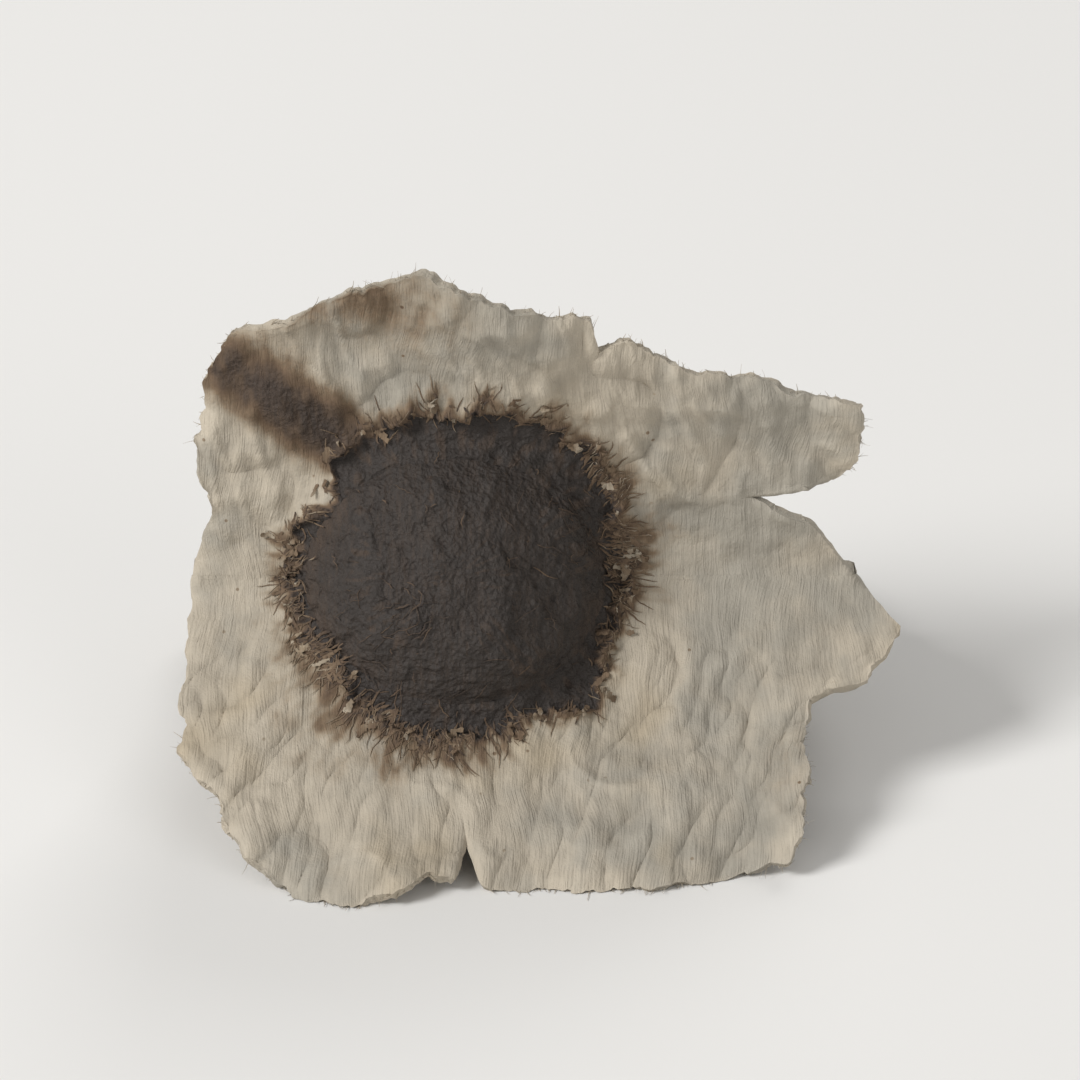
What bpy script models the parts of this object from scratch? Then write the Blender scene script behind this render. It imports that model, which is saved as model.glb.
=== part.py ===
"""A dry moringa seed that lies on two of its three papery wings.

The seed grew as one piece, so it is one solid: a dark rounded hull on a thin spine,
with three wings along the spine's whole length, 120 degrees apart.

Metres, +Z up. The spine runs along X. The origin is the middle of the underside of
the seed's box, on the surface that the seed rests on.
"""

import math
import random
from typing import NamedTuple

import bmesh
import bpy
from mathutils import Vector, noise

# Hull and spine, measured from the hull's centre
HULL_CENTRE = Vector((-0.00293, 0.0002, 0.0061))
HULL_HALF_LENGTH = 0.0055
HULL_RADIUS = 0.0052
HULL_RIDGE = 0.09
HULL_RELIEF = 0.00014
HULL_RELIEF_SIZE = 0.0021
HULL_SEGMENTS = 36
HULL_RINGS = 22
SPINE_RADIUS = 0.00062
SPINE_TIP_RADIUS = 0.00042
SPINE_INSET = 0.0004
SPINE_SIDES = 9

# Wings
WING_THICKNESS = 0.0006
ROOT_THICKNESS = 0.0020
ROOT_FLARE = 0.0009
SPINE_FLARE = 0.0009
SPINE_SHARE = 0.5
WING_REACH = 0.012
WING_COLUMNS = 46
WING_ROWS = 15
SWAY_LENGTH = 0.0215
RIPPLE_LENGTH = 0.0068
TEAR_STEP = 0.00095
TEAR_DEPTH = 0.00019
TEAR_STARTS = 0.003
TEARS_PER_SEED = 1000

# The table's surface trims the lowest wing edges to small flats
TABLE_SIDE = 0.05
TABLE_DEPTH = 0.004

HULL_COLOUR = (0.075, 0.055, 0.042, 1.0)
HULL_ROUGHNESS = 0.85
SHARP_ANGLE = math.radians(40)


class Wing(NamedTuple):
    """One papery wing. Radii run out from the spine, and places along it from the hull's centre.

    left_end and right_end hold (radius, place) and outer_edge holds (place, radius).
    curl bends the whole edge sideways. sway is its long wave and ripple its short one,
    each with its depth and the place where the wave begins.
    """

    name: str
    angle: float
    left_end: tuple
    right_end: tuple
    outer_edge: tuple
    curl: float
    sway: tuple
    ripple: tuple
    seed: int


FRONT_WING = Wing(
    name="front_wing",
    angle=math.radians(210),
    left_end=((0.0, -0.0089), (0.003, -0.0091), (0.0068, -0.0092), (0.0088, -0.0079), (0.012, -0.0066)),
    right_end=(
        (0.0, 0.0137),
        (0.0020, 0.0151),
        (0.0040, 0.0141),
        (0.0048, 0.0121),
        (0.0096, 0.0118),
        (0.012, 0.0106),
    ),
    outer_edge=(
        (-0.0092, 0.0110),
        (-0.0072, 0.0124),
        (-0.0040, 0.0129),
        (-0.0010, 0.0119),
        (0.0002, 0.0119),
        (0.0009, 0.0104),
        (0.0016, 0.0118),
        (0.0055, 0.0119),
        (0.0095, 0.0121),
        (0.0115, 0.0115),
        (0.0151, 0.0108),
    ),
    curl=0.0,
    sway=(0.00035, 0.0022),
    ripple=(0.00022, 0.001),
    seed=11,
)
TOP_WING = Wing(
    name="top_wing",
    angle=math.radians(90),
    left_end=((0.0, -0.0089), (0.0025, -0.0083), (0.005, -0.0089), (0.0085, -0.0080), (0.012, -0.0057)),
    right_end=(
        (0.0, 0.0137),
        (0.0022, 0.0122),
        (0.0033, 0.0103),
        (0.0038, 0.0129),
        (0.0046, 0.0137),
        (0.0092, 0.0139),
    ),
    outer_edge=(
        (-0.0090, 0.0096),
        (-0.0076, 0.0104),
        (-0.0055, 0.0119),
        (-0.0034, 0.0124),
        (-0.0010, 0.0117),
        (0.0026, 0.0106),
        (0.0036, 0.0104),
        (0.0042, 0.0093),
        (0.0050, 0.0098),
        (0.0068, 0.0088),
        (0.0102, 0.0077),
        (0.0139, 0.0069),
    ),
    curl=0.0010,
    sway=(0.0007, -0.004),
    ripple=(0.00030, 0.0),
    seed=23,
)
BACK_WING = Wing(
    name="back_wing",
    angle=math.radians(-30),
    left_end=((0.0, -0.0089), (0.0035, -0.0080), (0.0075, -0.0088), (0.010, -0.0076), (0.012, -0.0060)),
    right_end=((0.0, 0.0137), (0.003, 0.0140), (0.0065, 0.0126), (0.008, 0.0130), (0.012, 0.0110)),
    outer_edge=(
        (-0.0090, 0.0104),
        (-0.0060, 0.0121),
        (-0.0036, 0.0124),
        (-0.0029, 0.0108),
        (-0.0021, 0.0121),
        (0.0015, 0.0116),
        (0.0065, 0.0124),
        (0.0090, 0.0121),
        (0.0140, 0.0108),
    ),
    curl=0.0002,
    sway=(0.0006, 0.006),
    ripple=(0.00025, 0.002),
    seed=37,
)
WINGS = (FRONT_WING, TOP_WING, BACK_WING)


def clear_scene():
    """Removes whatever the open file holds."""
    for obj in list(bpy.data.objects):
        bpy.data.objects.remove(obj, do_unlink=True)


def new_collection(name):
    """Returns a new collection linked to the scene."""
    collection = bpy.data.collections.new(name)
    bpy.context.scene.collection.children.link(collection)
    return collection


def hull_material():
    """Returns the matt, nearly black brown of the hull."""
    material = bpy.data.materials.new("seed_hull")
    material.use_nodes = True
    shader = material.node_tree.nodes["Principled BSDF"]
    shader.inputs["Base Color"].default_value = HULL_COLOUR
    shader.inputs["Roughness"].default_value = HULL_ROUGHNESS
    shader.inputs["Metallic"].default_value = 0.0
    return material


def link_mesh(name, mesh, collection):
    """Puts a mesh in the collection as a new object."""
    obj = bpy.data.objects.new(name, mesh)
    collection.objects.link(obj)
    return obj


def between(points, key):
    """Reads a broken line of (key, value) points, which holds its end values beyond its ends."""
    if key <= points[0][0]:
        return points[0][1]
    for (low, first), (high, last) in zip(points, points[1:]):
        if key <= high:
            return first + (last - first) * (key - low) / (high - low)
    return points[-1][1]


def tear(seed, place):
    """Returns how far a torn edge departs from its outline at this place: straight facets of seeded depth."""
    knot = math.floor(place / TEAR_STEP)
    first = random.Random(TEARS_PER_SEED * seed + knot).uniform(-1, 1)
    last = random.Random(TEARS_PER_SEED * seed + knot + 1).uniform(-1, 1)
    return TEAR_DEPTH * (first + (last - first) * (place / TEAR_STEP - knot))


def around_spine(along, radius, angle):
    """Turns a place along the spine, a radius and an angle into a point."""
    return HULL_CENTRE + Vector((along, radius * math.cos(angle), radius * math.sin(angle)))


def wing_side_shift(wing, along, radius):
    """Returns how far the wing's middle surface leaves its plane, which grows from the spine outwards."""
    share = radius / WING_REACH
    sway_depth, sway_start = wing.sway
    ripple_depth, ripple_start = wing.ripple
    sway = sway_depth * math.sin(math.tau * (along - sway_start) / SWAY_LENGTH)
    ripple = ripple_depth * math.sin(math.tau * (along - ripple_start) / RIPPLE_LENGTH)
    return (wing.curl + sway) * share**2 + ripple * share**3


def wing_thickness(along, radius):
    """Returns the wing's thickness, which flares where it grows out of the hull and the spine."""
    hull_reach = math.hypot(along / HULL_HALF_LENGTH, radius / HULL_RADIUS)
    off_hull = max(0.0, (hull_reach - 1) * HULL_RADIUS)
    flare = max(math.exp(-off_hull / ROOT_FLARE), SPINE_SHARE * math.exp(-radius / SPINE_FLARE))
    return WING_THICKNESS + (ROOT_THICKNESS - WING_THICKNESS) * flare


def wing_point(wing, across, out):
    """Returns (point, thickness) of the wing at these shares, from 0 to 1, of its length and its reach."""
    first = min(place for _, place in wing.left_end)
    last = max(place for _, place in wing.right_end)
    along = first + (last - first) * across
    radius = out * (between(wing.outer_edge, along) + tear(wing.seed, along))
    frayed = min(1.0, radius / TEAR_STARTS)
    left = between(wing.left_end, radius) + frayed * tear(wing.seed + 1, radius)
    right = between(wing.right_end, radius) + frayed * tear(wing.seed + 2, radius)
    along = left + (right - left) * across
    point = around_spine(along, radius, wing.angle)
    sideways = Vector((0.0, -math.sin(wing.angle), math.cos(wing.angle)))
    return point + sideways * wing_side_shift(wing, along, radius), wing_thickness(along, radius)


def make_hull(collection):
    """Makes the rounded hull, drawn out a little towards each wing, with a low uneven relief."""
    mesh = bpy.data.meshes.new("moringa_seed")
    shape = bmesh.new()
    bmesh.ops.create_uvsphere(shape, u_segments=HULL_SEGMENTS, v_segments=HULL_RINGS, radius=1)
    for vert in shape.verts:
        around, out, along = vert.co
        angle = math.atan2(out, around)
        ridge = 1 + HULL_RIDGE * math.cos(3 * (angle - TOP_WING.angle))
        radius = HULL_RADIUS * math.hypot(around, out) * ridge
        point = around_spine(along * HULL_HALF_LENGTH, radius, angle)
        relief = HULL_RELIEF * noise.noise(point / HULL_RELIEF_SIZE)
        vert.co = point + relief * (point - HULL_CENTRE).normalized()
    bmesh.ops.recalc_face_normals(shape, faces=shape.faces)
    shape.to_mesh(mesh)
    shape.free()
    return link_mesh("moringa_seed", mesh, collection)


def make_spine(collection):
    """Makes the slender spine that the wings share beyond the hull."""
    left = max(wing.left_end[0][1] for wing in WINGS)
    right = min(wing.right_end[0][1] for wing in WINGS)
    mesh = bpy.data.meshes.new("spine")
    shape = bmesh.new()
    bmesh.ops.create_cone(
        shape,
        cap_ends=True,
        segments=SPINE_SIDES,
        radius1=SPINE_RADIUS,
        radius2=SPINE_TIP_RADIUS,
        depth=right - left - 2 * SPINE_INSET,
    )
    middle = (left + right) / 2
    for vert in shape.verts:
        vert.co = HULL_CENTRE + Vector((vert.co.z + middle, vert.co.y, -vert.co.x))
    bmesh.ops.recalc_face_normals(shape, faces=shape.faces)
    shape.to_mesh(mesh)
    shape.free()
    return link_mesh("spine", mesh, collection)


def make_wing(wing, collection):
    """Makes one wing as a sheet with torn ends and a waved edge, thickened towards its root."""
    mesh = bpy.data.meshes.new(wing.name)
    shape = bmesh.new()
    bmesh.ops.create_grid(shape, x_segments=WING_COLUMNS, y_segments=WING_ROWS, size=0.5)
    thicknesses = []
    for vert in shape.verts:
        vert.co, thickness = wing_point(wing, vert.co.x + 0.5, vert.co.y + 0.5)
        thicknesses.append(thickness)
    bmesh.ops.triangulate(shape, faces=shape.faces)
    shape.to_mesh(mesh)
    shape.free()
    obj = link_mesh(wing.name, mesh, collection)

    group = obj.vertex_groups.new(name="thickness")
    for index, thickness in enumerate(thicknesses):
        group.add([index], thickness / ROOT_THICKNESS, "REPLACE")
    solidify = obj.modifiers.new("thickness", "SOLIDIFY")
    solidify.thickness = ROOT_THICKNESS
    solidify.offset = 0
    solidify.vertex_group = group.name
    solidify.thickness_vertex_group = 0
    return obj


def make_table_cutter(collection):
    """Makes the block whose top is the surface that the seed rests on."""
    mesh = bpy.data.meshes.new("table_cutter")
    shape = bmesh.new()
    bmesh.ops.create_cube(shape, size=1)
    for vert in shape.verts:
        vert.co.x *= TABLE_SIDE
        vert.co.y *= TABLE_SIDE
        vert.co.z = (vert.co.z - 0.5) * TABLE_DEPTH
    shape.to_mesh(mesh)
    shape.free()
    cutter = link_mesh("table_cutter", mesh, collection)
    cutter.hide_render = True
    cutter.display_type = "WIRE"
    return cutter


def bake_modifiers(obj):
    """Replaces the object's mesh with what its modifiers make of it."""
    bpy.context.view_layer.update()
    graph = bpy.context.evaluated_depsgraph_get()
    mesh = bpy.data.meshes.new_from_object(obj.evaluated_get(graph))
    obj.modifiers.clear()
    obj.data = mesh
    mesh.name = obj.name


def make_seed():
    """Joins the hull, the spine and the wings in one solid and trims the edges that it rests on."""
    seed_collection = new_collection("moringa_seed_parts")
    growth_collection = new_collection("growths")
    cutter_collection = new_collection("cutters")
    seed = make_hull(seed_collection)
    make_spine(growth_collection)
    for wing in WINGS:
        make_wing(wing, growth_collection)

    union = seed.modifiers.new("grown_together", "BOOLEAN")
    union.operation = "UNION"
    union.operand_type = "COLLECTION"
    union.collection = growth_collection
    union.solver = "EXACT"
    bake_modifiers(seed)
    for growth in list(growth_collection.objects):
        bpy.data.objects.remove(growth, do_unlink=True)

    rest = seed.modifiers.new("resting_flats", "BOOLEAN")
    rest.operation = "DIFFERENCE"
    rest.object = make_table_cutter(cutter_collection)
    rest.solver = "EXACT"

    seed.data.materials.clear()
    seed.data.materials.append(hull_material())
    seed.data.shade_smooth()
    seed.data.set_sharp_from_angle(angle=SHARP_ANGLE)
    return seed


clear_scene()
make_seed()
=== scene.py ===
"""Looks of one dry moringa seed that lies on two of its three papery wings.

Metres, +Z up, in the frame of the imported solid, with the spine along X. The hull is a
dark, grainy case. Each wing is one closed sheet whose root spreads over the hull as a
torn skirt, and shreds, fibres and scraps of wing tissue lie along the torn borders.
"""

import itertools
import logging
import math
import random
from collections.abc import Iterable
from dataclasses import dataclass
from enum import Enum

import bpy
import numpy as np
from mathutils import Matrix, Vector


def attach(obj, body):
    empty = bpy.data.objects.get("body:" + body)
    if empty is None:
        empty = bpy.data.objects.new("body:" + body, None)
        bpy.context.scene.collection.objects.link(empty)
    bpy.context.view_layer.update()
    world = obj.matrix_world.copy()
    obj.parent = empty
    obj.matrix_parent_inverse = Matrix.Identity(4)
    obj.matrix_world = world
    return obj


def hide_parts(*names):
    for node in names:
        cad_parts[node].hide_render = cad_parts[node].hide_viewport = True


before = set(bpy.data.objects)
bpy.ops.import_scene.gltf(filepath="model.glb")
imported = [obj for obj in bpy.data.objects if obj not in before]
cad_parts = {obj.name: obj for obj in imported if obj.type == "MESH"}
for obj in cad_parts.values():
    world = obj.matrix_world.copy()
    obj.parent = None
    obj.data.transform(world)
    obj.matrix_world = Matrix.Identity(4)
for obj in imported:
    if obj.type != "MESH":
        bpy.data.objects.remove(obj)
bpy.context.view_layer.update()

LOG = logging.getLogger("moringa_seed")
MM = 0.001
BODY = "root"
NODE = "moringa_seed"

Pair = tuple[float, float]
Triple = tuple[float, float, float]
Outline = tuple[Pair, ...]
Colour = Triple


def in_mm(*numbers: float) -> tuple[float, ...]:
    """Turns millimetres into metres."""
    return tuple(number * MM for number in numbers)


class Slot(Enum):
    """The record's material slots."""

    HULL = "hull"
    WING = "wing"


class Grain:
    """Smooth seeded noise in space, from about -1 to 1, read at many points at once."""

    cells = 256
    gain = 1.7

    def __init__(self, seed: int) -> None:
        """Draws the noise.

        Args:
            seed: The number that the draw depends on.
        """
        draw = np.random.default_rng(seed)
        self.order = np.tile(draw.permutation(self.cells), 4)
        slopes = draw.normal(size=(self.cells, 3))
        self.slopes = slopes / np.linalg.norm(slopes, axis=1, keepdims=True)

    def at(self, points: np.ndarray, size: float) -> np.ndarray:
        """Reads the noise.

        Args:
            points: Places, with their three coordinates on the last axis.
            size: The width of one lump of the noise.

        Returns:
            One value for each place.
        """
        scaled = points / size
        cell = np.floor(scaled).astype(int)
        part = scaled - cell
        fade = part**3 * (part * (part * 6 - 15) + 10)
        total = np.zeros(points.shape[:-1])
        for corner in itertools.product((0, 1), repeat=3):
            key = (cell + corner) & (self.cells - 1)
            pick = self.order[self.order[self.order[key[..., 0]] + key[..., 1]] + key[..., 2]]
            weight = np.where(np.array(corner) == 1, fade, 1 - fade).prod(axis=-1)
            total += weight * (self.slopes[pick] * (part - corner)).sum(axis=-1)
        return total * self.gain


HULL_GRAIN = Grain(5)
BORDER_GRAIN = Grain(6)
CRINKLE_GRAIN = Grain(7)
FIBRE_GRAIN = Grain(8)


@dataclass(frozen=True)
class Layer:
    """One layer of noise: its height, the width of its lumps, how it is squeezed along each axis,
    where a number under 1 draws it out, and how far it is moved."""

    grain: Grain
    height: float
    size: float
    squeeze: Triple = (1.0, 1.0, 1.0)
    shift: float = 0.0

    def at(self, points: np.ndarray) -> np.ndarray:
        """Reads the layer at these points."""
        return self.height * self.grain.at(points * self.squeeze + self.shift, self.size)


# The bare hull.
HULL_LUMPS = Layer(HULL_GRAIN, 0.14 * MM, 2.1 * MM)
CORK = Layer(HULL_GRAIN, 0.095 * MM, 0.85 * MM, shift=3 * MM)
CRUMBS = Layer(HULL_GRAIN, 0.050 * MM, 0.30 * MM)
STRANDS = Layer(HULL_GRAIN, 0.034 * MM, 0.24 * MM, squeeze=(0.2, 1.0, 1.0))
PITS = Layer(HULL_GRAIN, 1.0, 0.55 * MM, shift=8 * MM)
PIT_DEPTH = 0.22 * MM
PIT_START = 0.40

# The torn border of the bare hull. Spikes are read in the space of Face.rays.
LONG_SPIKES = Layer(BORDER_GRAIN, 1.0, 0.080)
SHORT_SPIKES = Layer(BORDER_GRAIN, 0.7, 0.036, shift=9.3)
BORDER_LUMPS = Layer(BORDER_GRAIN, 0.8, 1.5 * MM)
BORDER_NICKS = Layer(BORDER_GRAIN, 0.5, 0.55 * MM)
FRINGE_CHANGES = Layer(BORDER_GRAIN, 0.45, 1.3 * MM)
BORDER_GRIT = Layer(HULL_GRAIN, 0.03 * MM, 0.22 * MM)
LIFTED_PAPER = Layer(CRINKLE_GRAIN, 1.0, 1.1 * MM, shift=4 * MM)
PAPER_LUMPS = Layer(CRINKLE_GRAIN, 0.5, 0.8 * MM)

# The crinkled wings. Long fibres are read in the space of Face.rays.
FOLDS = Layer(CRINKLE_GRAIN, 0.26 * MM, 3.6 * MM)
RAISED_CREASES = Layer(CRINKLE_GRAIN, 2.4, 2.1 * MM, squeeze=(1.0, 0.6, 1.0))
FINE_CREASES = Layer(CRINKLE_GRAIN, 2.4, 0.95 * MM, squeeze=(1.0, 0.5, 1.0))
SUNK_CREASES = Layer(CRINKLE_GRAIN, 2.4, 2.6 * MM, squeeze=(1.0, 0.7, 1.0), shift=6 * MM)
CREASE_DEPTH = 0.14 * MM
CREASE_SHARPNESS = 1.6
PLEATS = Layer(CRINKLE_GRAIN, 0.045 * MM, 0.55 * MM, squeeze=(1.0, 0.14, 1.0))
RIM_CURLS = Layer(CRINKLE_GRAIN, 0.26 * MM, 2.2 * MM, shift=5 * MM)
LONG_FIBRES = Layer(FIBRE_GRAIN, 0.016 * MM, 0.045)
SHORT_FIBRES = Layer(FIBRE_GRAIN, 0.010 * MM, 0.3 * MM)

# The wings' colours.
MOTTLE = Layer(FIBRE_GRAIN, 1.0, 0.45 * MM)
BLOTS = Layer(FIBRE_GRAIN, 0.22, 1.3 * MM)
STAIN_AND_SHADOW_RUNS = Layer(FIBRE_GRAIN, 0.32, 0.36 * MM, squeeze=(1.0, 0.25, 0.25))
WIDE_WANDER = Layer(FIBRE_GRAIN, 0.45, 3.8 * MM)
FINE_WANDER = Layer(FIBRE_GRAIN, 0.07, 1.3 * MM)


def creases(layer: Layer, points: np.ndarray) -> np.ndarray:
    """Gives a net of sharp ridges where a layer crosses 0: 1 on their crests and 0 between them."""
    return (1 - np.minimum(1, np.abs(layer.at(points)))) ** CREASE_SHARPNESS


def smooth_step(value: np.ndarray) -> np.ndarray:
    """Turns a value into a share that eases from 0 at 0 to 1 at 1."""
    share = np.clip(value, 0.0, 1.0)
    return share * share * (3 - 2 * share)


ROUNDING = 1.6 * MM
ROUNDING_READS = 9


def read_outline(outline: Outline, key: np.ndarray) -> np.ndarray:
    """Reads a broken line of (key, value) points at many keys."""
    keys, values = zip(*outline)
    return np.interp(key, keys, values)


def read_rounded(outline: Outline, key: np.ndarray) -> np.ndarray:
    """Reads a broken line with its corners and notches rounded off."""
    shifts = np.linspace(-ROUNDING, ROUNDING, ROUNDING_READS)
    return np.mean([read_outline(outline, key + shift) for shift in shifts], axis=0)


def unit(vectors: np.ndarray) -> np.ndarray:
    """Scales vectors on the last axis to a length of 1."""
    return vectors / np.maximum(np.linalg.norm(vectors, axis=-1, keepdims=True), 1e-12)


def read_grid(grid: np.ndarray, column: np.ndarray, row: np.ndarray) -> np.ndarray:
    """Reads a grid between its points.

    Args:
        grid: Values by column and row.
        column: Places across the columns, in steps of the grid.
        row: Places across the rows, in steps of the grid.

    Returns:
        The blended values.
    """
    left = np.clip(np.floor(column).astype(int), 0, grid.shape[0] - 2)
    low = np.clip(np.floor(row).astype(int), 0, grid.shape[1] - 2)
    x, y = column - left, row - low
    if grid.ndim == 3:
        x, y = x[..., None], y[..., None]
    first = grid[left, low] * (1 - x) + grid[left + 1, low] * x
    last = grid[left, low + 1] * (1 - x) + grid[left + 1, low + 1] * x
    return first * (1 - y) + last * y


TEAR_STEP, TEAR_DEPTH = in_mm(0.95, 0.19)
COARSE_TEARS = in_mm(0.42, 0.11)
FINE_TEARS = in_mm(0.17, 0.06)
TEARS_PER_SEED = 1000
FRAY_SEED = 500


def tear(seed: int, place: np.ndarray, step: float = TEAR_STEP, depth: float = TEAR_DEPTH) -> np.ndarray:
    """Gives how far a torn edge departs from its outline: straight facets of seeded depth.

    Args:
        seed: The edge's own number.
        place: Places along the edge.
        step: The length of one facet.
        depth: The largest departure.

    Returns:
        The departure at each place.
    """
    knots = place / step
    first, last = math.floor(knots.min()), math.floor(knots.max()) + 1
    ordered = range(first, last + 1)
    heights = [random.Random(TEARS_PER_SEED * seed + knot).uniform(-1, 1) for knot in ordered]
    return depth * np.interp(knots, ordered, heights)


def fray(seed: int, place: np.ndarray) -> np.ndarray:
    """Adds the small tears of a papery edge to its large ones.

    Args:
        seed: The edge's own number.
        place: Places along the edge.

    Returns:
        The departure from the outline at each place.
    """
    coarse = tear(seed + FRAY_SEED, place, *COARSE_TEARS)
    fine = tear(seed + 2 * FRAY_SEED, place, *FINE_TEARS)
    return tear(seed, place) + coarse + fine


@dataclass(frozen=True)
class SeedShape:
    """The hull and the spine, with the sizes that the solid has."""

    centre: Triple = (-0.00293, 0.0002, 0.0061)
    half_length: float = 5.5 * MM
    radius: float = 5.2 * MM
    ridge: float = 0.09
    ridge_angle: float = math.radians(90)
    spine: float = 0.80 * MM
    spine_tip: float = 0.52 * MM
    spine_taper: float = 8.0 * MM

    def around(self, along: np.ndarray, radius: np.ndarray, angle: np.ndarray) -> np.ndarray:
        """Turns measures round the spine into points.

        Args:
            along: Places along the spine, from the hull's centre.
            radius: Distances from the spine.
            angle: Directions round it.

        Returns:
            The points.
        """
        along, radius, angle = np.broadcast_arrays(along, radius, angle)
        offset = np.stack((along, radius * np.cos(angle), radius * np.sin(angle)), axis=-1)
        return np.array(self.centre) + offset

    def drawn_out(self, angle: np.ndarray) -> np.ndarray:
        """Gives how much wider than round the hull is in these directions, most at the wings."""
        return 1 + self.ridge * np.cos(3 * (angle - self.ridge_angle))

    def hull_reach(self, along: np.ndarray, angle: np.ndarray) -> np.ndarray:
        """Gives the hull's radius."""
        round_share = np.sqrt(np.clip(1 - (along / self.half_length) ** 2, 0, 1))
        return self.radius * round_share * self.drawn_out(angle)

    def skin_reach(self, along: np.ndarray, angle: np.ndarray) -> np.ndarray:
        """Gives the radius of the hull merged with the spine, which thins towards its tips.

        Args:
            along: Places along the spine.
            angle: Directions round it.

        Returns:
            The radii.
        """
        beyond = np.clip((np.abs(along) - self.half_length) / self.spine_taper, 0, 1)
        spine = self.spine + (self.spine_tip - self.spine) * beyond
        return np.hypot(self.hull_reach(along, angle), spine)

    def height_above(self, points: np.ndarray) -> np.ndarray:
        """Gives how far points lie above the plain hull, measured towards its middle.

        Args:
            points: Places near the hull.

        Returns:
            Their heights, below 0 inside it.
        """
        offset = points - np.array(self.centre)
        radius = self.radius * self.drawn_out(np.arctan2(offset[..., 2], offset[..., 1]))
        across = np.hypot(offset[..., 1], offset[..., 2])
        share = np.hypot(offset[..., 0] / self.half_length, across / radius)
        return (share - 1) * np.linalg.norm(offset, axis=-1) / np.maximum(share, 0.01)


SEED = SeedShape()


def cork_relief(points: np.ndarray) -> np.ndarray:
    """Gives the corky lumps, crumbs, lengthwise fibres and pits of the bare hull."""
    pits = PIT_DEPTH * np.maximum(0, PITS.at(points) - PIT_START)
    return CORK.at(points) + CRUMBS.at(points) + STRANDS.at(points) - pits


@dataclass(frozen=True)
class Patch:
    """A soft patch on a wing, placed as its face is seen: a brown stain or a painted shadow, or a tone that
    is grey where its strength is above 0 and straw where it is below, the grey partly painted shade."""

    along: float
    across: float
    length: float
    height: float
    strength: float

    def shade(self, along: np.ndarray, across: np.ndarray) -> np.ndarray:
        """Gives the patch's strength at these places."""
        reach = ((along - self.along) / self.length) ** 2 + ((across - self.across) / self.height) ** 2
        return self.strength * np.exp(-reach)


def patches(*rows: tuple[float, ...]) -> tuple[Patch, ...]:
    """Makes patches from their four measures in millimetres and their strength."""
    return tuple(Patch(*in_mm(*measures), strength) for *measures, strength in rows)


@dataclass
class Border:
    """Where points lie against the torn border of a bare face: their distance outside it, the width
    of the brown fringe there, and streaks that run out from the face's middle."""

    outside: np.ndarray
    fringe: np.ndarray
    spikes: np.ndarray


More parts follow.
